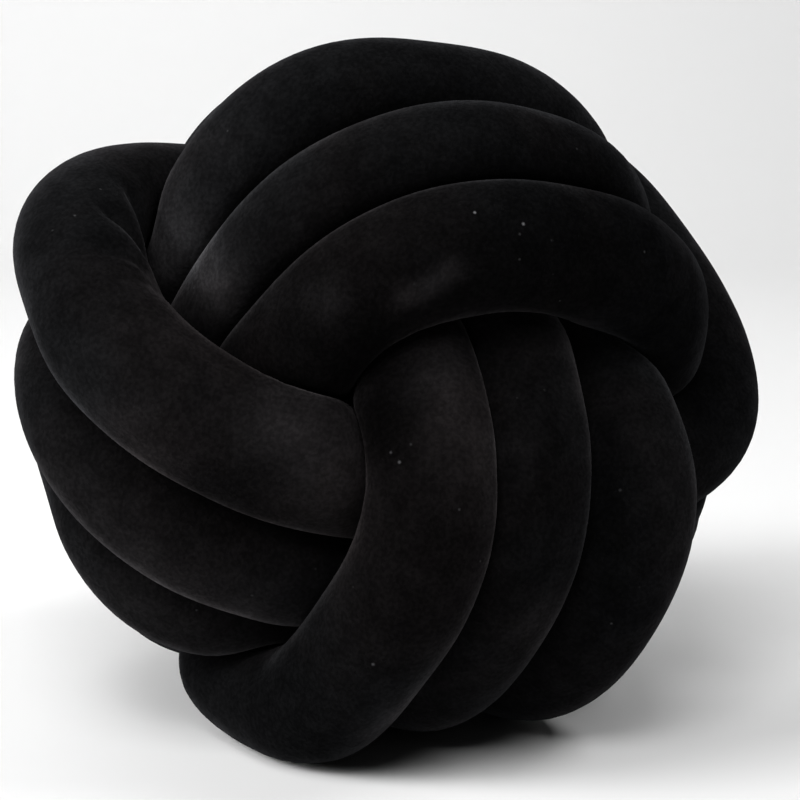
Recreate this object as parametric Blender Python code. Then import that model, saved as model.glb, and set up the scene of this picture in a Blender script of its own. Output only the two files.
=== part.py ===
"""Knot cushion: one stuffed velvet tube, closed on itself and wound into a ball.

Sizes are in millimetres. The tube makes three bands of three strands each. Every strand is a
pass, a ring round the ball: it shows on top of the next band, turns in at the band's end,
closes behind the ball and dips under the band before. A band's passes follow one another,
each a row further on, and at the end of a band the tube turns a corner of the ball into the
next band. Where two strands touch, each is pressed flat half way between their middles, and
the lowest strands are pressed flat on the surface that the cushion lies on. In the hidden
middle of the ball the strands' inner sides are run together, so that the ball isn't hollow.
"""

import math

import bmesh
import bpy
import numpy as np
from mathutils import Euler, Vector
from mathutils.geometry import interpolate_bezier

# The tube.
TUBE_RADIUS = 24.0
TUBE_SIDES = 12
SECTIONS = 440
VELVET = (0.012, 0.012, 0.014, 1.0)
VELVET_ROUGHNESS = 0.9

# The hidden side of the ball, and the corners where the tube leaves one band for the next.
BEHIND_SQUARENESS = 3.2
CORNER_ROW = 86.0
CORNER_REACH = 72.0

# The turning angle along a pass: 0 where it dips under, 90 on top, 180 where it turns in.
ROW_CHANGE_START = 195
ROW_CHANGE_END = 300
BAND_START = -90
BAND_END = 990
ANGLE_STEP = 9

# How the strands press on one another: the gap kept between two skins, the length along the
# tube inside which it doesn't press on itself, and the points of its line in each section.
CONTACT_GAP = 4.0
OWN_LENGTH = 85.0
LINE_STEPS = 5

# How the cushion settles: the surface's depth under the ball's middle, how deep the lowest
# strands are pressed into it, and the ease with which they bend to it.
SURFACE_DEPTH = 123.5
PRESS_DEPTH = 6.0
SETTLE_EASE = 3.0

# The hidden middle of the ball, where the inner sides of the strands are run together.
MIDDLE_RADIUS = 80.0
MIDDLE_ROUNDS = 3

# The turn, in degrees, from the knot's own axes to the way the cushion lies.
LYING_TURN = (-36.0, -6.0, -151.0)

# Each pass: how far it reaches where it dips under and where it turns in, its height on top,
# how square its round is, its row in the band, how the row wanders along it, how it swells
# before it turns in, and the radius of the sphere that its hidden side lies on.
COLUMNS = (
    "under", "turn", "over", "square", "row",
    "slant", "lean", "curl", "twist", "bulge", "behind",
)
TOP_BAND = (
    (71, 83, 112, 2.3, 28, 0, 6, 0, -3, 0.07, 109),
    (75, 73, 119, 2.3, -5, 2, 2, -3, -3, 0.05, 129),
    (78, 83, 115, 2.9, -41, -1, -2, 0, -5, -0.05, 137),
)
LEFT_BAND = (
    (70, 86, 134, 2.1, 34, 2, -1, -9, -2, 0.11, 130),
    (78, 71, 127, 2.3, -3, -2, -6, -7, -2, -0.04, 115),
    (64, 80, 107, 3.5, -37, 0, -4, -3, -6, 0.07, 140),
)
FRONT_BAND = (
    (69, 84, 114, 2.2, 36, -7, 6, 0, -4, 0.14, 120),
    (80, 71, 111, 2.1, -2, -1, 2, 1, -3, 0.11, 126),
    (66, 77, 115, 2.8, -42, 0, -4, 0, -5, -0.06, 135),
)

# The bands in the order in which the tube runs through them, each with the knot axes of its
# reach, its rows and its height.
BANDS = (
    (TOP_BAND, (0, 1, 2)),
    (FRONT_BAND, (2, 0, 1)),
    (LEFT_BAND, (1, 2, 0)),
)


def clear_scene():
    for item in list(bpy.data.objects):
        bpy.data.objects.remove(item)


def signed_power(value, power):
    return math.copysign(abs(value) ** power, value)


def smooth_share(value, start, end):
    """0 before start, 1 after end and an even ease between."""
    share = min(max((value - start) / (end - start), 0.0), 1.0)
    return share * share * (3 - 2 * share)


def with_corner_rows(passes):
    """The band's passes, with one more row at each side, where the corners of the ball are."""
    rows = [dict(zip(COLUMNS, values)) for values in passes]
    before = dict(rows[0], row=CORNER_ROW)
    after = dict(rows[-1], row=-CORNER_ROW)
    return [before, *rows, after]


def sizes_at(rows, angle):
    """The sizes at an angle: they ease from one pass to the next behind the ball."""
    number = math.floor((angle + 360 - ROW_CHANGE_END) / 360)
    share = smooth_share(angle - 360 * number, ROW_CHANGE_START, ROW_CHANGE_END)
    first = rows[number + 1]
    second = rows[min(number + 2, len(rows) - 1)]
    return {name: first[name] + (second[name] - first[name]) * share for name in COLUMNS}


def pass_point(size, angle):
    """(reach, row, height) of the tube's middle at one angle of a pass."""
    turn = math.radians(angle)
    along = math.cos(turn)
    up = math.sin(turn)
    on_top = up > 0
    power = 2 / (size["square"] if on_top else BEHIND_SQUARENESS)
    along_share = signed_power(along, power)
    up_share = signed_power(up, power)
    row = size["row"] + size["slant"] * along_share + size["lean"] * up_share
    row += size["curl"] * math.cos(2 * turn) + size["twist"] * math.sin(2 * turn)
    reach = (size["under"] if along > 0 else size["turn"]) * along_share
    height = size["over"] if on_top else math.sqrt(size["behind"] ** 2 - row**2)
    swell = 1.0
    if on_top and along < 0:
        swell += size["bulge"] * math.sin(2 * turn) ** 2
    return reach * swell, row, height * up_share * swell


def band_points(passes, axes):
    """The tube's middle along one band, in the knot's axes."""
    rows = with_corner_rows(passes)
    points = []
    for angle in range(BAND_START, BAND_END + 1, ANGLE_STEP):
        point = Vector()
        for axis, value in zip(axes, pass_point(sizes_at(rows, angle), angle)):
            point[axis] = value
        points.append(point)
    return points


def corner_points(band, next_band):
    """The turn round a corner of the ball, from the end of one band to the start of the next."""
    leaving = (band[-1] - band[-2]).normalized()
    arriving = (next_band[1] - next_band[0]).normalized()
    first_handle = band[-1] + CORNER_REACH * leaving
    second_handle = next_band[0] - CORNER_REACH * arriving
    return interpolate_bezier(band[-1], first_handle, second_handle, next_band[0], 12)[1:-1]


def knot_line():
    """The tube's middle all the way round, as one closed line."""
    bands = [band_points(*band) for band in BANDS]
    line = []
    for number, band in enumerate(bands):
        line += band
        line += corner_points(band, bands[(number + 1) % len(bands)])
    return line


def evenly_spaced(line, count):
    """The closed line as count points an equal way apart, on a smooth curve through it."""
    points = np.array(line)
    before = np.roll(points, 1, axis=0)
    after = np.roll(points, -1, axis=0)
    beyond = np.roll(points, -2, axis=0)
    fine = []
    for share in np.arange(0, 1, 0.125):
        bend = 2 * before - 5 * points + 4 * after - beyond
        curve = 3 * points - before - 3 * after + beyond
        fine.append(points + 0.5 * share * (after - before + share * (bend + share * curve)))
    fine = np.stack(fine, axis=1).reshape(-1, 3)
    steps = np.linalg.norm(np.roll(fine, -1, axis=0) - fine, axis=1)
    lengths = np.concatenate([[0.0], np.cumsum(steps)])
    wanted = np.linspace(0, lengths[-1], count, endpoint=False)
    closed = np.vstack([fine, fine[:1]])
    return np.stack([np.interp(wanted, lengths, closed[:, i]) for i in range(3)], axis=1)


def lying(points):
    """The points turned from the knot's axes to the way the cushion lies."""
    turn = Euler([math.radians(angle) for angle in LYING_TURN]).to_matrix()
    return points @ np.array(turn).T


def settled(middles):
    """The tube's middle after its lowest strands have bent to the surface."""
    lowest = TUBE_RADIUS - PRESS_DEPTH - SURFACE_DEPTH
    under = (lowest - middles[:, 2]) / SETTLE_EASE
    rise = SETTLE_EASE * np.logaddexp(0, under)
    return middles + rise[:, None] * [0, 0, 1]


def round_tube(middles):
    """A closed curve along the tube's middle, with a round bevel."""
    curve = bpy.data.curves.new("tube_line", "CURVE")
    curve.dimensions = "3D"
    curve.bevel_depth = TUBE_RADIUS
    curve.bevel_resolution = (TUBE_SIDES - 4) // 2
    spline = curve.splines.new("POLY")
    spline.points.add(len(middles) - 1)
    for point, middle in zip(spline.points, middles):
        point.co = (*middle, 1.0)
    spline.use_cyclic_u = True
    return bpy.data.objects.new("tube_line", curve)


def mesh_from_curve(item):
    """The curve's surface as a mesh. The curve itself is removed."""
    bpy.context.collection.objects.link(item)
    graph = bpy.context.evaluated_depsgraph_get()
    mesh = bpy.data.meshes.new_from_object(item.evaluated_get(graph))
    bpy.data.objects.remove(item)
    return mesh


def pressed_radii(line, directions):
    """How far the skin stands out from each section's middle, in each of its directions."""
    count = len(line)
    total = np.linalg.norm(np.roll(line, -1, axis=0) - line, axis=1).sum()
    numbers = np.arange(count)
    radii = np.full(directions.shape[:2], TUBE_RADIUS)
    for number in range(len(directions)):
        place = number * LINE_STEPS
        ways = line - line[place]
        distances = np.linalg.norm(ways, axis=1)
        apart = np.abs(numbers - place)
        along = np.minimum(apart, count - apart) * total / count
        others = (along > OWN_LENGTH) & (distances < 2 * TUBE_RADIUS + CONTACT_GAP)
        if not others.any():
            continue
        ways = ways[others] / distances[others, None]
        room = (distances[others] - CONTACT_GAP) / 2
        facing = directions[number] @ ways.T
        limits = np.where(facing > 0.01, room / np.maximum(facing, 0.01), np.inf)
        radii[number] = np.minimum(TUBE_RADIUS, limits.min(axis=1))
    return radii


def pressed_skin(mesh, line):
    """The skin's points after the strands have pressed on one another."""
    middles = line[::LINE_STEPS]
    points = np.empty(len(mesh.vertices) * 3)
    mesh.vertices.foreach_get("co", points)
    sections = points.reshape(len(middles), -1, 3)
    directions = (sections - middles[:, None]) / TUBE_RADIUS
    radii = pressed_radii(line, directions)
    return (middles[:, None] + radii[:, :, None] * directions).reshape(-1, 3)


def middle_place(points):
    """Where the ball's middle comes when the ball is centred over the origin and set down."""
    low = points.min(axis=0)
    high = points.max(axis=0)
    return np.array([-(low[0] + high[0]) / 2, -(low[1] + high[1]) / 2, SURFACE_DEPTH])


def flat_below(points):
    """The points, with those under the surface pressed flat on it."""
    points[:, 2] = np.maximum(points[:, 2], 0.0)
    return points


def velvet():
    material = bpy.data.materials.new("velvet")
    material.use_nodes = True
    shader = material.node_tree.nodes["Principled BSDF"]
    shader.inputs["Base Color"].default_value = VELVET
    shader.inputs["Roughness"].default_value = VELVET_ROUGHNESS
    shader.inputs["Metallic"].default_value = 0.0
    return material


def build_tube(collection):
    """The wound tube, and where its ball's middle is."""
    line = settled(lying(evenly_spaced(knot_line(), SECTIONS * LINE_STEPS)))
    mesh = mesh_from_curve(round_tube(line[::LINE_STEPS]))
    points = pressed_skin(mesh, line)
    place = middle_place(points)
    mesh.vertices.foreach_set("co", (flat_below(points + place) / 1000).ravel())
    mesh.materials.clear()
    mesh.materials.append(velvet())
    mesh.name = "tube"
    mesh.update()
    tube = bpy.data.objects.new("tube", mesh)
    collection.objects.link(tube)
    return tube, place


def fill_middle(tube, place, collection):
    """A hidden ball joined to the inner sides of the strands."""
    shape = bmesh.new()
    bmesh.ops.create_icosphere(shape, subdivisions=MIDDLE_ROUNDS, radius=MIDDLE_RADIUS / 1000)
    mesh = bpy.data.meshes.new("middle_joiner")
    shape.to_mesh(mesh)
    shape.free()
    joiner = bpy.data.objects.new("middle_joiner", mesh)
    joiner.location = place / 1000
    joiner.hide_render = True
    joiner.display_type = "WIRE"
    collection.objects.link(joiner)
    union = tube.modifiers.new("filled_middle", "BOOLEAN")
    union.operation = "UNION"
    union.solver = "EXACT"
    union.object = joiner


def new_collection(name):
    collection = bpy.data.collections.new(name)
    bpy.context.scene.collection.children.link(collection)
    return collection


def main():
    clear_scene()
    tube, place = build_tube(new_collection("knot_cushion"))
    fill_middle(tube, place, new_collection("joiners"))


main()
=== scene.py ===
# %% [markdown]
# # A knot cushion in black velvet
#
# The real cushion is one long tube of velvet, stuffed hard, sewn shut end to end and wound
# into a ball. Three bands of three strands weave over and under one another. On the side
# that faces us the three bands meet in a whirl.
#
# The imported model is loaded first. It gives the true size, the surface that the cushion lies
# on, and the solid tube that the fine velvet one replaces.

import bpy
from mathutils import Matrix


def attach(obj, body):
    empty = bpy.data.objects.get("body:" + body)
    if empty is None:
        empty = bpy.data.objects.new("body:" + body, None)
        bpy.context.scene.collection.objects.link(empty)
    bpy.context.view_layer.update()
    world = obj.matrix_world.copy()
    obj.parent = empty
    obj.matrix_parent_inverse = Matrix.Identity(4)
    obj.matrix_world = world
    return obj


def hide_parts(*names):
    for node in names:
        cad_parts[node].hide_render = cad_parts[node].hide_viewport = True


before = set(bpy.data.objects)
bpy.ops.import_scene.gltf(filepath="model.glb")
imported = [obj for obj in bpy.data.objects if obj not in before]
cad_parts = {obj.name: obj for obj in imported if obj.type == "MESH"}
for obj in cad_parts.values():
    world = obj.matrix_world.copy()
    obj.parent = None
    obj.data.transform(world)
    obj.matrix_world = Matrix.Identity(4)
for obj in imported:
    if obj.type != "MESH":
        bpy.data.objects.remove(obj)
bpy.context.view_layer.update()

# %% The modules that the cells use
import math

import bmesh
import bpy
import numpy as np
from mathutils import Euler, Vector, noise
from mathutils.geometry import interpolate_bezier

# %% [markdown]
# ## The winding
#
# A monkey's fist is easiest to describe one turn at a time. A pass is one turn of the tube
# round the ball. It is measured by a turning angle: at 0 it dips under the next band, at 90
# it lies on top, at 180 it turns in and at 270 it is hidden behind the ball. A short table
# gives each pass its reach, height and row in millimetres, one row of numbers a pass. The
# sizes ease from one pass to the next on the hidden side, where the real tube steps across.
#
# `under` and `turn` are how far the pass reaches to its two sides, `over` and `behind` how
# far it stands out on top and behind. `square` says how boxy its round is. `row` is its
# place across the band, and `slant`, `lean`, `curl` and `twist` let it wander from there.
# `bulge` swells it where it turns in.
#
# Every band goes round in its own direction. So beside its passes stand the three axes, 0
# for x, 1 for y and 2 for z, along which its reach, its row and its height are measured.

# %% The table of passes
COLUMNS = (
    "under", "turn", "over", "square", "row",
    "slant", "lean", "curl", "twist", "bulge", "behind",
)
TOP_BAND = (
    (71, 83, 112, 2.3, 28, 0, 6, 0, -3, 0.07, 109),
    (75, 73, 119, 2.3, -5, 2, 2, -3, -3, 0.05, 129),
    (78, 83, 115, 2.9, -41, -1, -2, 0, -5, -0.05, 137),
)
LEFT_BAND = (
    (70, 86, 134, 2.1, 34, 2, -1, -9, -2, 0.11, 130),
    (78, 71, 127, 2.3, -3, -2, -6, -7, -2, -0.04, 115),
    (64, 80, 107, 3.5, -37, 0, -4, -3, -6, 0.07, 140),
)
FRONT_BAND = (
    (69, 84, 114, 2.2, 36, -7, 6, 0, -4, 0.14, 120),
    (80, 71, 111, 2.1, -2, -1, 2, 1, -3, 0.11, 126),
    (66, 77, 115, 2.8, -42, 0, -4, 0, -5, -0.06, 135),
)
BANDS = (
    (TOP_BAND, (0, 1, 2)),
    (FRONT_BAND, (2, 0, 1)),
    (LEFT_BAND, (1, 2, 0)),
)
BAND_NAMES = ("top", "front", "left")
print(sum(len(passes) for passes, axes in BANDS), "passes in", len(BANDS), "bands")

# %% Sizes of a pass at any turning angle
CORNER_ROW = 86.0
ROW_CHANGE_START = 195
ROW_CHANGE_END = 300


def smooth_share(value, start, end):
    """0 before start, 1 after end and an even ease between."""
    share = min(max((value - start) / (end - start), 0.0), 1.0)
    return share * share * (3 - 2 * share)


def with_corner_rows(passes):
    """The band's passes, and a row at each side for the corners of the ball."""
    rows = [dict(zip(COLUMNS, values)) for values in passes]
    return [dict(rows[0], row=CORNER_ROW), *rows, dict(rows[-1], row=-CORNER_ROW)]


def sizes_at(rows, angle):
    """The sizes at an angle that goes on counting from one pass of the band to the next."""
    number = math.floor((angle + 360 - ROW_CHANGE_END) / 360)
    share = smooth_share(angle - 360 * number, ROW_CHANGE_START, ROW_CHANGE_END)
    first = rows[number + 1]
    second = rows[min(number + 2, len(rows) - 1)]
    return {name: first[name] + (second[name] - first[name]) * share for name in COLUMNS}


top_rows = with_corner_rows(TOP_BAND)
on_top = (90, 450, 810)
print("rows of the top band:", [round(sizes_at(top_rows, angle)["row"]) for angle in on_top])

# %% One point of the tube's middle
BEHIND_SQUARENESS = 3.2


def signed_power(value, power):
    return math.copysign(abs(value) ** power, value)


def pass_point(size, angle):
    """(reach, row, height) at one angle, on an oval whose squareness the table sets."""
    turn = math.radians(angle)
    along = math.cos(turn)
    up = math.sin(turn)
    power = 2 / (size["square"] if up > 0 else BEHIND_SQUARENESS)
    along_share = signed_power(along, power)
    up_share = signed_power(up, power)
    row = size["row"] + size["slant"] * along_share + size["lean"] * up_share
    row += size["curl"] * math.cos(2 * turn) + size["twist"] * math.sin(2 * turn)
    reach = (size["under"] if along > 0 else size["turn"]) * along_share
    height = size["over"] if up > 0 else math.sqrt(size["behind"] ** 2 - row**2)
    swell = 1.0
    if up > 0 and along < 0:
        swell += size["bulge"] * math.sin(2 * turn) ** 2
    return reach * swell, row, height * up_share * swell


top_point = pass_point(sizes_at(top_rows, 90), 90)
print("the first pass of the top band tops out at", [round(value) for value in top_point])

# %% [markdown]
# ## One closed line through the ball
#
# Each band is read off the table every few degrees. At the end of a band the tube leaves
# round a corner of the ball and comes back as the next band. A Bezier curve makes that
# corner, because it can start and end along the two strands that it joins.

# %% The bands and the corners between them
BAND_START = -90
BAND_END = 990
ANGLE_STEP = 3
CORNER_REACH = 72.0
CORNER_POINTS = 36


def band_points(passes, axes):
    """Three passes of the tube's middle, one after the other."""
    rows = with_corner_rows(passes)
    points = []
    for angle in range(BAND_START, BAND_END + 1, ANGLE_STEP):
        point = Vector()
        for axis, value in zip(axes, pass_point(sizes_at(rows, angle), angle)):
            point[axis] = value
        points.append(point)
    return points


def corner_points(band, next_band):
    """The way from the end of one band to the start of the next."""
    leaving = (band[-1] - band[-2]).normalized()
    arriving = (next_band[1] - next_band[0]).normalized()
    first_handle = band[-1] + CORNER_REACH * leaving
    second_handle = next_band[0] - CORNER_REACH * arriving
    curve = interpolate_bezier(
        band[-1], first_handle, second_handle, next_band[0], CORNER_POINTS
    )
    return curve[1:-1]


bands = [band_points(*band) for band in BANDS]
knot_line = []
for number, band in enumerate(bands):
    knot_line += band
    knot_line += corner_points(band, bands[(number + 1) % len(bands)])
print(len(knot_line), "points on the tube's middle")

# %% Points an even way apart
SECTIONS = 1800
LINE_ROUNDS = 8


def evenly_spaced(line, count):
    """Points an equal way apart, how far on in the list each one is, and the line's length."""
    points = np.array(line)
    closed = np.vstack([points, points[:1]])
    steps = np.linalg.norm(np.diff(closed, axis=0), axis=1)
    lengths = np.concatenate([[0.0], np.cumsum(steps)])
    wanted = np.linspace(0, lengths[-1], count, endpoint=False)
    spaced = [np.interp(wanted, lengths, closed[:, axis]) for axis in range(3)]
    far_on = np.interp(wanted, lengths, np.arange(len(closed))) / len(points)
    return np.stack(spaced, axis=1), far_on, lengths[-1]


def evened(field, rounds):
    """A closed run of values, each round a little more like its neighbours."""
    for _ in range(rounds):
        field = (np.roll(field, 1, axis=0) + 2 * field + np.roll(field, -1, axis=0)) / 4
    return field


middles, far_on, tube_length = evenly_spaced(knot_line, SECTIONS)
middles = evened(middles, LINE_ROUNDS)
section_bands = np.floor(far_on * len(BANDS)).astype(int)
section_step = tube_length / SECTIONS
print("the tube is", round(tube_length / 1000, 2), "m long")
print("sections in each band:", dict(zip(BAND_NAMES, np.bincount(section_bands).tolist())))

# %% [markdown]
# ## How it lies
#
# The cushion is turned the way it lies in the picture and set on the surface. Its lowest
# strands carry it, so they bend to the surface and are pressed flat there.

# %% Turn and settle the line
TUBE_RADIUS = 24.0
LYING_TURN = (-36.0, -6.0, -151.0)
SURFACE_DEPTH = 123.5
PRESS_DEPTH = 6.0
SETTLE_EASE = 3.0


def lying(points):
    """Turned from the even layout of the table to the way that the cushion lies."""
    turn = Euler([math.radians(angle) for angle in LYING_TURN]).to_matrix()
    return points @ np.array(turn).T


def settled(points):
    """The lowest strands raised, with an even ease, to where the surface holds them up."""
    lowest = TUBE_RADIUS - PRESS_DEPTH - SURFACE_DEPTH
    under = (lowest - points[:, 2]) / SETTLE_EASE
    rise = SETTLE_EASE * np.logaddexp(0, under)
    return points + rise[:, None] * [0, 0, 1]


middles = settled(lying(middles))
print("the lowest middle is", round(SURFACE_DEPTH + middles[:, 2].min(), 1), "mm up")

# %% [markdown]
# ## The stuffed tube
#
# A curve with a round bevel gives a clean tube with even faces. It is made a mesh, and
# then its points are worked in code. Cloth simulation isn't used: one tube that presses on
# itself in a hundred places is slow to settle and seldom settles the same way twice.

# %% A round tube from a bevelled curve
TUBE_SIDES = 48


def round_tube(line):
    """A mesh of TUBE_SIDES points at each point of the line."""
    curve = bpy.data.curves.new("tube_line", "CURVE")
    curve.dimensions = "3D"
    curve.bevel_depth = TUBE_RADIUS
    curve.bevel_resolution = (TUBE_SIDES - 4) // 2
    spline = curve.splines.new("POLY")
    spline.points.add(len(line) - 1)
    for point, middle in zip(spline.points, line):
        point.co = (*middle, 1.0)
    spline.use_cyclic_u = True
    item = bpy.data.objects.new("tube_line", curve)
    bpy.context.collection.objects.link(item)
    graph = bpy.context.evaluated_depsgraph_get()
    mesh = bpy.data.meshes.new_from_object(item.evaluated_get(graph))
    bpy.data.objects.remove(item)
    return mesh


velvet_mesh = round_tube(middles)
skin = np.empty(len(velvet_mesh.vertices) * 3)
velvet_mesh.vertices.foreach_get("co", skin)
skin = skin.reshape(SECTIONS, -1, 3)
outward = (skin - middles[:, None]) / TUBE_RADIUS
print(len(velvet_mesh.vertices), "points,", skin.shape[1], "round the tube")

# %% [markdown]
# ## Strand against strand
#
# Two stuffed strands that touch press each other flat half way between their middles. So
# each point of the skin may stand out only as far as that half-way plane. The cloth doesn't
# shrink, though: what is pushed in at the sides swells the free crown a little.
#
# A tube stuffed by hand has uneven places too. A short table gives three: the bands that each
# one works on, its place, its reach and how far it swells or, below 0, sinks the skin.

# %% How far each point may stand out
CONTACT_GAP = 0.8
OWN_LENGTH = 85.0
REACH = 2.3 * TUBE_RADIUS
LEAST_FACING = 0.02


def half_way_limits(line, directions):
    """How far each point may go out. Stretches nearer than OWN_LENGTH are the same strand."""
    count = len(line)
    numbers = np.arange(count)
    limits = np.full(directions.shape[:2], 10 * TUBE_RADIUS)
    for number in range(count):
        ways = line - line[number]
        distances = np.linalg.norm(ways, axis=1)
        apart = np.abs(numbers - number)
        along = np.minimum(apart, count - apart) * section_step
        others = (along > OWN_LENGTH) & (distances < REACH)
        if not others.any():
            continue
        ways = ways[others] / distances[others, None]
        room = (distances[others] - CONTACT_GAP) / 2
        facing = np.maximum(directions[number] @ ways.T, LEAST_FACING)
        limits[number] = np.minimum(limits[number], (room / facing).min(axis=1))
    return limits


limits = half_way_limits(middles, outward)
heights = (SURFACE_DEPTH + middles[:, 2])[:, None]
down = np.maximum(-outward[:, :, 2], LEAST_FACING)
limits = np.minimum(limits, heights / down)
print("share of the skin that touches:", round(float((limits < TUBE_RADIUS).mean()), 2))

# %% Press and swell the sections
SHOULDER = 1.6
SWELL = 0.45
SWELL_ROUNDS = 12
SKIN_ROUNDS = 2
UNEVEN_PLACES = (
    (BAND_NAMES, (-15, -106, 19), 22, 9.0),
    (("front",), (-72, -50, -96), 20, 8.0),
    (("top",), (-82, -12, -103), 18, -9.0),
)


def soft_least(first, second, ease):
    """The smaller of two values, with a round shoulder where they cross."""
    least = np.minimum(first, second)
    return least - ease * np.log1p(np.exp(-np.abs(first - second) / ease))


def near(points, middle, reach):
    """1 at a place on the cushion, fading to 0 round it. Places count from the ball's middle."""
    away = np.linalg.norm(points - middle, axis=-1)
    return np.exp(-((away / reach) ** 2))


pressed = soft_least(np.full_like(limits, TUBE_RADIUS), limits, SHOULDER)
pushed_in = 1 - pressed.mean(axis=1, keepdims=True) / TUBE_RADIUS
full_radius = TUBE_RADIUS * (1 + SWELL * evened(pushed_in, SWELL_ROUNDS))
wanted = full_radius * np.ones_like(limits)
for names, middle, reach, height in UNEVEN_PLACES:
    here = np.isin(section_bands, [BAND_NAMES.index(name) for name in names])
    close = near(middles[:, None] + wanted[:, :, None] * outward, middle, reach)
    wanted += height * here[:, None] * close
radii = soft_least(wanted, limits, SHOULDER)
radii = evened(radii, SKIN_ROUNDS)
radii = evened(radii.T, 1).T
print("crown radius", round(float(full_radius.min()), 1), "to", round(float(full_radius.max()), 1))

# %% [markdown]
# ## Stuffing and pinches
#
# Stuffing is never quite even, so a slow noise raises and sinks the skin by under a
# millimetre. Where the tube bends hard, the cloth on the inside of the bend is too long and
# pinches into short grooves across the tube.

# %% Slow lumps in the stuffing
LUMP_SIZE = 38.0
LUMP_HEIGHT = 0.8


def lumps(points):
    """How far the stuffing raises the skin at each point."""
    values = [noise.noise(Vector(point) / LUMP_SIZE) for point in points.reshape(-1, 3)]
    return LUMP_HEIGHT * np.array(values).reshape(points.shape[:2])


radii += lumps(middles[:, None] + radii[:, :, None] * outward)

# %% Pinches inside the bends
PINCH_SPACING = 12.0
PINCH_DEPTH = 1.5
PINCH_WANDER = 0.9
WANDER_LENGTH = 30
WANDER_ROUND = 1.4
SIDE_POWER = 1.5
BEND_SPAN = 5
BEND_ROUNDS = 6
BEND_STARTS = 0.38
BEND_TIGHT = 0.75


def bends(line):
    """The way to the inside of the bend at each section, as long as the bend is tight."""
    ahead = np.roll(line, -BEND_SPAN, axis=0)
    behind = np.roll(line, BEND_SPAN, axis=0)
    return TUBE_RADIUS * (ahead - 2 * line + behind) / (BEND_SPAN * section_step) ** 2


def pinches(line, directions):
    """Grooves across the tube that wander, deepest on the inside of the tightest bends."""
    inward = evened(bends(line), BEND_ROUNDS)
    tightness = np.linalg.norm(inward, axis=1)
    share = np.clip((tightness - BEND_STARTS) / (BEND_TIGHT - BEND_STARTS), 0, 1)
    side = np.einsum("sij,sj->si", directions, inward / np.maximum(tightness, 1e-6)[:, None])
    side = np.clip(side, 0, 1) ** SIDE_POWER
    waves = np.empty(directions.shape[:2])
    for number in range(len(line)):
        along = number * section_step
        for turn, way in enumerate(directions[number]):
            side_place = (way[0] * WANDER_ROUND, way[2] * WANDER_ROUND)
            wander = noise.noise(Vector((along / WANDER_LENGTH, *side_place)))
            waves[number, turn] = along / PINCH_SPACING + PINCH_WANDER * wander
    grooves = (1 - np.abs(np.sin(math.pi * waves))) ** 2
    return PINCH_DEPTH * share[:, None] * side * grooves


radii -= pinches(middles, outward)

# %% Folds pressed into the inside of the sharpest bend
FOLDS = (
    ((-92, -46, 86), (-86, -50, 70), 4.0, 2.6),
    ((-97, -68, 82), (-86, -68, 68), 4.5, 4.6),
    ((-96, -90, 71), (-83, -83, 63), 4.0, 3.2),
    ((-89, -99, 62), (-79, -88, 57), 4.5, 2.0),
)


def folds(points):
    """Grooves along short lines, measured from the ball's middle: start, end, width, depth."""
    depth = np.zeros(points.shape[:-1])
    for start, end, width, deepest in FOLDS:
        start = np.array(start, float)
        way = np.array(end, float) - start
        share = np.clip((points - start) @ way / (way @ way), 0, 1)
        away = np.linalg.norm(points - start - share[..., None] * way, axis=-1)
        depth = np.maximum(depth, deepest * np.exp(-((away / width) ** 2)))
    return depth


radii -= folds(middles[:, None] + radii[:, :, None] * outward)
print("skin radius", round(float(radii.min()), 1), "to", round(float(radii.max()), 1), "mm")

# %% Set the skin down on the surface
skin = middles[:, None] + radii[:, :, None] * outward
low = skin.min(axis=(0, 1))
high = skin.max(axis=(0, 1))
knot_middle = np.array([-(low[0] + high[0]) / 2, -(low[1] + high[1]) / 2, SURFACE_DEPTH])
skin = skin + knot_middle
skin[:, :, 2] = np.maximum(skin[:, :, 2], 0.0)
velvet_mesh.vertices.foreach_set("co", (skin / 1000).ravel())
velvet_mesh.update()
velvet_mesh.shade_smooth()
cushion = bpy.data.objects.new("velvet_tube", velvet_mesh)
bpy.context.collection.objects.link(cushion)
print("the ball is", [round(float(side)) for side in high - low], "mm")

# %% Mark the band of each point
band_marks = np.eye(len(BANDS))[section_bands]
band_marks = np.repeat(band_marks, TUBE_SIDES, axis=0)
marks = velvet_mesh.attributes.new("band", "FLOAT_VECTOR", "POINT")
marks.data.foreach_set("vector", band_marks.ravel())
print("points in each band:", dict(zip(BAND_NAMES, band_marks.sum(axis=0).astype(int).tolist())))

# %% [markdown]
# ## Velvet
#
# Velvet is a cloth of short standing hairs. Seen straight on, light falls between the hairs
# and is lost, so black velvet is the darkest of cloths. Seen along the surface, the hair
# tips catch the light, which is what the sheen of the shader does. A hand that has brushed
# the pile leaves soft paler and darker patches. Painted light and painted shade are laid on
# the same way: paler patches of painted light, and darker patches of painted shade on the
# right side and close beside strands that shade one another.

# %% A short way to add nodes
def add_node(tree, kind, **settings):
    """A node with some of its inputs or settings filled in."""
    node = tree.nodes.new(kind)
    for name, value in settings.items():
        if name in node.inputs:
            node.inputs[name].default_value = value
        else:
            setattr(node, name, value)
    return node


# %% Noise, ranges and sums
def noise_field(tree, place, scale, detail=2.0, distortion=0.0):
    """A grey noise with the given number of waves in a metre."""
    node = add_node(
        tree, "ShaderNodeTexNoise", Scale=scale, Detail=detail, Distortion=distortion
    )
    tree.links.new(place, node.inputs["Vector"])
    return node.outputs["Fac"]


def spread(tree, value, low, high, least, most):
    """A value between low and high, drawn out to run smoothly from least to most."""
    node = add_node(tree, "ShaderNodeMapRange", clamp=True)
    node.interpolation_type = "SMOOTHSTEP"
    node.inputs["From Min"].default_value = low
    node.inputs["From Max"].default_value = high
    node.inputs["To Min"].default_value = least
    node.inputs["To Max"].default_value = most
    tree.links.new(value, node.inputs["Value"])
    return node.outputs["Result"]


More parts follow.
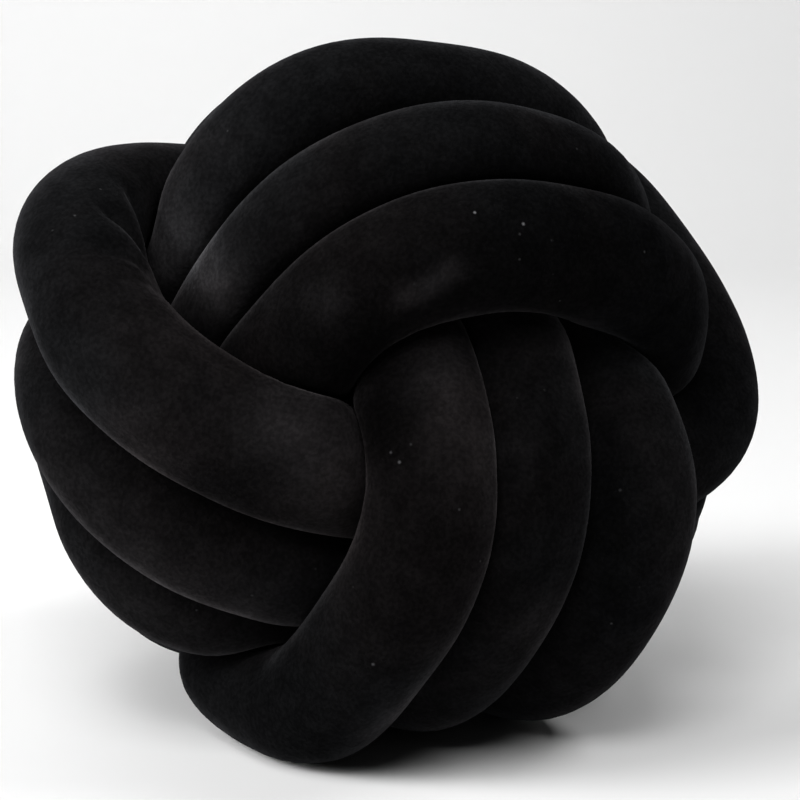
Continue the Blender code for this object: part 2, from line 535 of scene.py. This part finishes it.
def combined(tree, operation, first, second):
    """Two values, or a value and a number, put together."""
    node = add_node(tree, "ShaderNodeMath", operation=operation)
    for value, socket in zip((first, second), node.inputs):
        if isinstance(value, float):
            socket.default_value = value
        else:
            tree.links.new(value, socket)
    return node.outputs["Value"]


# %% [markdown]
# ### Brushed places, painted light and painted shade
#
# One number says how strongly the pile answers light. It is counted in stops, as a camera
# does: one stop more is twice as strong, and one less is half. A table gives the places that
# a hand has brushed, together with places of painted light and painted shade: the band, the
# place in millimetres, how far it reaches and its stops.

# %% Places where a hand has brushed the pile, with painted light and painted shade
# Painted light and painted shade: the high stops at the left ends of the top band stand in for
# light from the left, and many low stops, on the right side and beside crossing strands, stand in
# for shade.
BRUSHED_AND_PAINTED_LIGHT_PLACES = (
    ("top", (-75, -59, 184), 34, 2.2),
    ("top", (-64, -85, 179), 26, 2.2),
    ("top", (-83, -58, 199), 34, 0.8),
    ("top", (-64, -68, 223), 50, 0.6),
    ("top", (-45, -87, 213), 45, 0.3),
    ("top", (60, -85, 222), 60, -0.5),
    ("top", (18, -74, 246), 45, -0.4),
    ("top", (118, -60, 159), 40, -0.7),
    ("top", (76, -94, 171), 80, -0.9),
    ("top", (28, -116, 176), 40, -0.3),
    ("top", (-19, -123, 156), 45, -0.9),
    ("top", (2, -125, 177), 9, 1.0),
    ("top", (9, -125, 181), 10, 1.5),
    ("top", (16, -125, 185), 9, 1.6),
    ("top", (22, -124, 189), 9, 1.6),
    ("top", (-22, -123, 178), 18, 1.2),
    ("left", (-24, -130, 134), 38, 1.1),
    ("left", (-42, -133, 136), 30, 0.9),
    ("left", (-17, -127, 115), 34, 1.1),
    ("left", (-71, -136, 149), 60, 0.6),
    ("left", (-57, -115, 72), 60, 1.2),
    ("left", (-57, -112, 101), 44, -0.9),
    ("left", (139, -32, 127), 60, -0.7),
    ("front", (18, -122, 153), 30, 1.1),
    ("front", (26, -134, 128), 34, 1.1),
    ("front", (4, -142, 105), 50, -0.7),
    ("front", (-3, -128, 140), 26, -1.1),
    ("front", (0, -119, 156), 16, -0.9),
    ("front", (-47, -102, 35), 60, -0.8),
    ("front", (0, -123, 29), 34, 0.6),
    ("front", (82, -88, 141), 45, 0.7),
    ("front", (78, -96, 41), 80, -0.4),
    ("front", (56, -115, 61), 24, 0.8),
)


def faded(tree, place, middle, reach, amount):
    """An amount at a place given in millimetres, fading to nothing at the reach."""
    away = add_node(tree, "ShaderNodeVectorMath", operation="DISTANCE")
    away.inputs[1].default_value = [value / 1000 for value in middle]
    tree.links.new(place, away.inputs[0])
    return spread(tree, away.outputs["Value"], 0.0, reach / 1000, amount, 0.0)


def brushed_and_painted_light_places(tree, place):
    """The stops of all brushed places, painted light and painted shade. Each counts only on its
    own band.
    """
    parts = tree.nodes.new("ShaderNodeSeparateXYZ")
    band = add_node(tree, "ShaderNodeAttribute", attribute_name="band")
    tree.links.new(band.outputs["Vector"], parts.inputs["Vector"])
    share = dict(zip(BAND_NAMES, parts.outputs))
    total = None
    for name, middle, reach, amount in BRUSHED_AND_PAINTED_LIGHT_PLACES:
        one = faded(tree, place, middle, reach, amount)
        one = combined(tree, "MULTIPLY", one, share[name])
        total = one if total is None else combined(tree, "ADD", total, one)
    return total


print(len(BRUSHED_AND_PAINTED_LIGHT_PLACES), "brushed places")

# %% [markdown]
# ### Lint
#
# Black velvet catches pale lint. The flecks that stand out are in a table of place, size and
# strength, and a scatter of faint ones comes from the cells of a Voronoi texture.

# %% Flecks of lint
LINT_PLACES = (
    ((29, -118, 208), 0.8, 0.9),
    ((46, -116, 204), 0.9, 0.8),
    ((91, -93, 192), 0.8, 0.25),
    ((-113, -91, 205), 0.8, 0.25),
    ((-6, -139, 53), 1.0, 0.3),
    ((0, -134, 127), 0.8, 0.2),
    ((3, -136, 124), 0.9, 0.3),
    ((7, -135, 130), 0.8, 0.15),
    ((83, -104, 107), 0.9, 0.2),
    ((31, -136, 89), 0.7, 0.15),
    ((60, -105, 176), 0.7, 0.12),
)
LINT_COLOUR = (0.16, 0.16, 0.165, 1.0)
SPECKS_A_METRE = 85.0
SPECK_CORE = 0.015
SPECK_EDGE = 0.060
BARE_SHARE = 0.45
SPECK_STRENGTH = 0.16


def lint(tree, place):
    """How much of the surface is lint: a few flecks, and a fine scatter of faint ones."""
    specks = add_node(tree, "ShaderNodeTexVoronoi", Scale=SPECKS_A_METRE)
    tree.links.new(place, specks.inputs["Vector"])
    close = spread(tree, specks.outputs["Distance"], SPECK_CORE, SPECK_EDGE, 1.0, 0.0)
    strength = tree.nodes.new("ShaderNodeSeparateColor")
    tree.links.new(specks.outputs["Color"], strength.inputs["Color"])
    bright = spread(tree, strength.outputs["Red"], BARE_SHARE, 1.0, 0.0, SPECK_STRENGTH)
    total = combined(tree, "MULTIPLY", close, bright)
    for middle, reach, amount in LINT_PLACES:
        total = combined(tree, "MAXIMUM", total, faded(tree, place, middle, reach, amount))
    return total


print(len(LINT_PLACES), "flecks of lint")

# %% [markdown]
# ### Strength and hue
#
# Three sizes of noise make the pile uneven: wide drifts, clumps of hairs and single tips. A
# mild rim of painted sheen is added to the base colour and the sheen where the surface turns
# away, because there one looks along the hairs. The hue is a little warmer near the whirl and
# colder further out.

# %% How strongly the pile answers light
PILE_NOISES = (
    # waves in a metre, detail, distortion, noise value at least and at most, stops
    (14.0, 2.0, 0.6, 0.34, 0.68, 0.28),
    (110.0, 4.0, 0.0, 0.32, 0.68, 0.24),
    (640.0, 2.0, 0.0, 0.32, 0.68, 0.32),
)
PAINTED_SHEEN_RIM_START = 0.50
PAINTED_SHEEN_RIM_END = 0.92
PAINTED_SHEEN_RIM_STOPS = 1.3


def pile_strength(tree, place):
    """2 to the power of all stops: brushed places with painted light and shade, the painted rim
    sheen and noises.
    """
    facing = tree.nodes.new("ShaderNodeLayerWeight").outputs["Facing"]
    # Painted sheen: the base colour and the sheen weight grow brighter where the surface turns
    # away from the view.
    painted_sheen_rim = spread(tree, facing, PAINTED_SHEEN_RIM_START, PAINTED_SHEEN_RIM_END, 0.0, PAINTED_SHEEN_RIM_STOPS)
    total = combined(tree, "ADD", brushed_and_painted_light_places(tree, place), painted_sheen_rim)
    for waves, detail, distortion, low, high, stops in PILE_NOISES:
        field = noise_field(tree, place, waves, detail, distortion)
        total = combined(tree, "ADD", total, spread(tree, field, low, high, -stops, stops))
    return combined(tree, "POWER", 2.0, total)


# %% The hue of the pile
PILE_COLD = (0.98, 0.99, 1.06, 1.0)
PILE_WARM = (1.10, 0.97, 1.00, 1.0)
WHIRL_PLACE = (-10, -125, 140)
WHIRL_REACH = 150
WHIRL_WARMTH = 1.1
DRIFTS_A_METRE = 16.0
DRIFT_WARMTH = 0.3


def pile_hue(tree, place):
    """Warmer round the whirl, and colder further out."""
    field = noise_field(tree, place, DRIFTS_A_METRE)
    drift = spread(tree, field, 0.36, 0.64, -DRIFT_WARMTH, DRIFT_WARMTH)
    whirl = faded(tree, place, WHIRL_PLACE, WHIRL_REACH, WHIRL_WARMTH)
    warmth = combined(tree, "ADD", drift, whirl)
    hue = tree.nodes.new("ShaderNodeMixRGB")
    tree.links.new(warmth, hue.inputs["Fac"])
    hue.inputs["Color1"].default_value = PILE_COLD
    hue.inputs["Color2"].default_value = PILE_WARM
    return hue.outputs["Color"]


# %% [markdown]
# ### The velvet shader
#
# The base is nearly black and the sheen is broad. Both are multiplied by the same strength,
# so a brushed place, or a patch of painted light, is paler from every side. A fine bump roughens
# the tips.

# %% The velvet material
PILE_TONE = 0.0015
SHEEN_TONE = 0.0136
TIPS_A_METRE = 620.0
TIP_HEIGHT = 0.0008


def velvet_material():
    material = bpy.data.materials.new("black_velvet")
    material.use_nodes = True
    tree = material.node_tree
    shader = tree.nodes["Principled BSDF"]
    shader.inputs["Roughness"].default_value = 0.95
    shader.inputs["Specular IOR Level"].default_value = 0.0
    shader.inputs["Sheen Roughness"].default_value = 0.75
    place = tree.nodes.new("ShaderNodeTexCoord").outputs["Object"]
    # The strength carries painted light, painted shade and a painted rim sheen into the base
    # colour and the sheen weight.
    strength = pile_strength(tree, place)
    hue = pile_hue(tree, place)
    tree.links.new(hue, shader.inputs["Sheen Tint"])
    tree.links.new(combined(tree, "MULTIPLY", strength, SHEEN_TONE), shader.inputs["Sheen Weight"])

    pile = add_node(tree, "ShaderNodeVectorMath", operation="SCALE")
    tree.links.new(hue, pile.inputs[0])
    tree.links.new(combined(tree, "MULTIPLY", strength, PILE_TONE), pile.inputs["Scale"])
    flecked = tree.nodes.new("ShaderNodeMixRGB")
    tree.links.new(lint(tree, place), flecked.inputs["Fac"])
    tree.links.new(pile.outputs["Vector"], flecked.inputs["Color1"])
    flecked.inputs["Color2"].default_value = LINT_COLOUR
    tree.links.new(flecked.outputs["Color"], shader.inputs["Base Color"])

    bump = add_node(tree, "ShaderNodeBump", Strength=0.35, Distance=TIP_HEIGHT)
    tree.links.new(noise_field(tree, place, TIPS_A_METRE), bump.inputs["Height"])
    tree.links.new(bump.outputs["Normal"], shader.inputs["Normal"])
    return material


velvet = velvet_material()
velvet_mesh.materials.clear()
velvet_mesh.materials.append(velvet)
print("velvet made of", len(velvet.node_tree.nodes), "nodes on", cushion.name)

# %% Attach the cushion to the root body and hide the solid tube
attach(cushion, "root")
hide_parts("tube")

# %% [markdown]
# ## The studio
#
# The picture has no corner between floor and wall: a white sheet sweeps up behind the
# cushion. It is a profile of a few points, pulled sideways into a sheet.

# %% A white sweep to lie on
SWEEP_FRONT = -3.0
SWEEP_BEND_START = 1.6
SWEEP_BEND_RADIUS = 1.2
SWEEP_TOP = 4.0
SWEEP_WIDTH = 16.0
SWEEP_BEND_STEPS = 24
SWEEP_WHITE = (0.86, 0.86, 0.86, 1.0)


def sweep_sheet():
    """A floor that bends up into a wall, from a profile in metres pulled along x."""
    profile = [(SWEEP_FRONT, 0.0), (SWEEP_BEND_START, 0.0)]
    for step in range(1, SWEEP_BEND_STEPS + 1):
        angle = math.radians(90 * step / SWEEP_BEND_STEPS)
        out = SWEEP_BEND_START + SWEEP_BEND_RADIUS * math.sin(angle)
        profile.append((out, SWEEP_BEND_RADIUS * (1 - math.cos(angle))))
    profile.append((profile[-1][0], SWEEP_TOP))
    shape = bmesh.new()
    verts = [shape.verts.new((-SWEEP_WIDTH / 2, y, z)) for y, z in profile]
    edges = [shape.edges.new(pair) for pair in zip(verts, verts[1:])]
    pulled = bmesh.ops.extrude_edge_only(shape, edges=edges)["geom"]
    moved = [item for item in pulled if isinstance(item, bmesh.types.BMVert)]
    bmesh.ops.translate(shape, verts=moved, vec=(SWEEP_WIDTH, 0, 0))
    bmesh.ops.recalc_face_normals(shape, faces=shape.faces)
    mesh = bpy.data.meshes.new("studio_sweep")
    shape.to_mesh(mesh)
    shape.free()
    mesh.shade_smooth()
    return bpy.data.objects.new("studio_sweep", mesh)


def sweep_material():
    material = bpy.data.materials.new("white_paper")
    material.use_nodes = True
    shader = material.node_tree.nodes["Principled BSDF"]
    shader.inputs["Base Color"].default_value = SWEEP_WHITE
    shader.inputs["Roughness"].default_value = 0.7
    return material


sweep = sweep_sheet()
bpy.context.collection.objects.link(sweep)
sweep.data.materials.append(sweep_material())
print("the sheet has", len(sweep.data.polygons), "faces")

# %% [markdown]
# ## The light
#
# Two soft lights from the left round the strands, and one from the front fills them in. Most
# of them stand high, so the shadow is dark close under the ball. A light on the right gives
# that shadow its edge, and one behind keeps the wall white. The air gives hardly any light.

# %% Soft lights
BALL_PLACE = (0.0, 0.0, 0.12)
WALL_PLACE = (-0.2, 2.9, 0.9)


def soft_light(name, place, size, power, target=BALL_PLACE):
    """A square light of a size in metres and a power in watts, turned to its target."""
    data = bpy.data.lights.new(name, "AREA")
    data.shape = "SQUARE"
    data.size = size
    data.energy = power
    item = bpy.data.objects.new(name, data)
    item.location = place
    way = Vector(target) - Vector(place)
    item.rotation_euler = way.to_track_quat("-Z", "Y").to_euler()
    bpy.context.collection.objects.link(item)


soft_light("key_light", (-2.0, -0.5, 0.8), 0.9, 26)
soft_light("high_key_light", (-1.9, -0.9, 1.6), 0.9, 37)
soft_light("front_light", (-0.3, -1.6, 2.3), 1.2, 37)
soft_light("right_light", (1.7, 0.0, 2.3), 1.0, 25)
soft_light("wall_light", (-0.9, 1.3, 2.4), 1.5, 25, WALL_PLACE)

# %% Dim air
AIR_STRENGTH = 0.02

world = bpy.data.worlds.new("studio_air")
world.use_nodes = True
air = world.node_tree.nodes["Background"]
air.inputs["Color"].default_value = (1, 1, 1, 1)
air.inputs["Strength"].default_value = AIR_STRENGTH
bpy.context.scene.world = world
bpy.context.scene.view_settings.view_transform = "Standard"
print("air of strength", AIR_STRENGTH)

# %% [markdown]
# ## The camera
#
# The camera looks down a little from the front. Its distance, in millimetres from the middle
# of the ball, sets how much nearer strands gain in size. A shift of the lens, not a turn,
# puts the middle of the knot where the picture has it.

# %% The camera
PICTURE = 800
MIDDLE_PIXEL = (379.0, 401.0)
CAMERA_DISTANCE = 790.0
CAMERA_RISE = 10.0
BALL_RADIUS = 150
BALL_RADIUS_PIXELS = 370
SENSOR = 36.0

lens = bpy.data.cameras.new("camera")
lens.sensor_width = SENSOR
millimetres_a_pixel = BALL_RADIUS / BALL_RADIUS_PIXELS
lens.lens = SENSOR * CAMERA_DISTANCE / millimetres_a_pixel / PICTURE
lens.shift_x = (PICTURE / 2 - MIDDLE_PIXEL[0]) / PICTURE
lens.shift_y = (MIDDLE_PIXEL[1] - PICTURE / 2) / PICTURE
camera = bpy.data.objects.new("camera", lens)
rise = math.radians(CAMERA_RISE)
stand_off = Vector((0, -math.cos(rise), math.sin(rise))) * CAMERA_DISTANCE
camera.location = (Vector(knot_middle) + stand_off) / 1000
camera.rotation_euler = (math.radians(90 - CAMERA_RISE), 0, 0)
bpy.context.collection.objects.link(camera)
bpy.context.scene.camera = camera
print("lens", round(lens.lens, 1), "mm")
